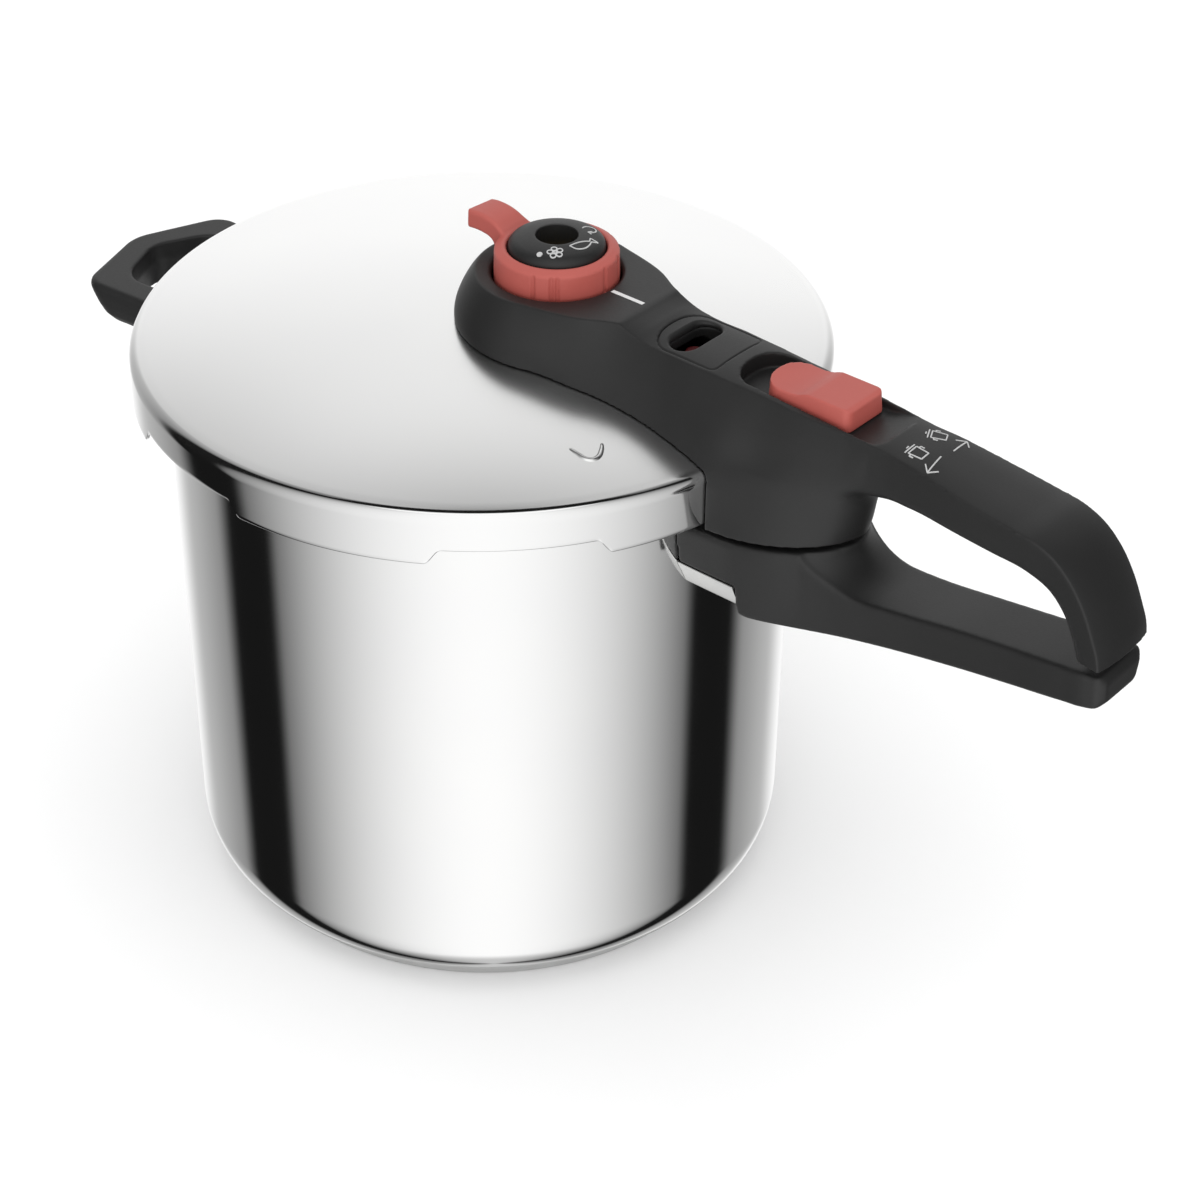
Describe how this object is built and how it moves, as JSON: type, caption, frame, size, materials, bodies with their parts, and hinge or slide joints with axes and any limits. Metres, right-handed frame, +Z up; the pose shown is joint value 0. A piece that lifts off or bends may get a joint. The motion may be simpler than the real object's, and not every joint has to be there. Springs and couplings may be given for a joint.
{
  "type": "stovetop pressure cooker",
  "caption": "Stovetop pressure cooker with a bayonet lid, a long two-part handle, a pressure selector dial, a sliding lid lock, a pressure indicator and a helper handle.",
  "frame": {"origin": "centre of the base, on the plane it stands on", "axes": "+X along the long handle, +Z up along the pot's axis"},
  "size_m": [0.4518, 0.2464, 0.2647],
  "materials": {
    "steel": "polished stainless steel",
    "plain_steel": "plain",
    "aluminium": "plain",
    "brass": "plain",
    "black_plastic": "satin, fine grain",
    "red_plastic": "matte",
    "seal_rubber": "matte"
  },
  "bodies": {
    "pot": {"pot_shell": "steel", "base_diffuser": "aluminium", "base_cup": "steel", "main_handle_bracket": "plain_steel", "flame_guard": "plain_steel", "main_handle": "black_plastic", "main_handle_screw": "plain_steel", "helper_handle_bracket": "plain_steel", "helper_handle": "black_plastic", "helper_handle_screws": "plain_steel"},
    "gasket": {"lid_gasket": "seal_rubber"},
    "lid": {"lid_shell": "steel", "lid_handle_shell": "black_plastic", "lid_handle_base": "black_plastic", "base_screws": "plain_steel", "lid_handle_bracket": "plain_steel", "lid_handle_screw": "plain_steel", "indicator_plate": "black_plastic", "steam_duct": "brass", "duct_seal": "seal_rubber", "duct_nut": "plain_steel", "indicator_bush": "brass", "indicator_nut": "plain_steel", "safety_body": "brass", "safety_nut": "plain_steel", "safety_cap": "brass", "safety_spring": "plain_steel", "lock_spring": "plain_steel"},
    "selector": {"selector_ring": "red_plastic", "selector_cap": "black_plastic", "valve_guide": "brass", "valve_spring": "plain_steel"},
    "valve": {"valve_plunger": "plain_steel"},
    "indicator": {"indicator_pin": "red_plastic", "indicator_seal": "seal_rubber"},
    "lock": {"lock_button": "red_plastic", "lock_bolt": "plain_steel", "lock_screw": "plain_steel"},
    "safety": {"safety_ball": "plain_steel"}
  },
  "joints": [
    {"name": "lid_lift", "type": "slide", "parent": "pot", "child": "gasket", "axis": [0, 0, 1], "range_m": [0, 0.15]},
    {"name": "lid_turn", "type": "hinge", "parent": "gasket", "child": "lid", "pos_m": [0, 0, 0.206], "axis": [0, 0, 1], "range_deg": [0, 30]},
    {"name": "selector_turn", "type": "hinge", "parent": "lid", "child": "selector", "pos_m": [0.0343, 0, 0.2425], "axis": [0, 0, 1], "range_deg": [-60, 80]},
    {"name": "valve_lift", "type": "slide", "parent": "selector", "child": "valve", "axis": [0, 0, 1], "range_m": [0, 0.002], "stiffness_N_per_m": 1500, "deforming": ["valve_spring"]},
    {"name": "indicator_rise", "type": "slide", "parent": "lid", "child": "indicator", "axis": [0, 0, 1], "range_m": [0, 0.006]},
    {"name": "lock_slide", "type": "slide", "parent": "lid", "child": "lock", "axis": [-1, 0, 0], "range_m": [0, 0.01], "stiffness_N_per_m": 300, "deforming": ["lock_spring"]},
    {"name": "safety_lift", "type": "slide", "parent": "lid", "child": "safety", "axis": [0, 0, 1], "range_m": [0, 0.0015], "stiffness_N_per_m": 2000, "deforming": ["safety_spring"]}
  ]
}
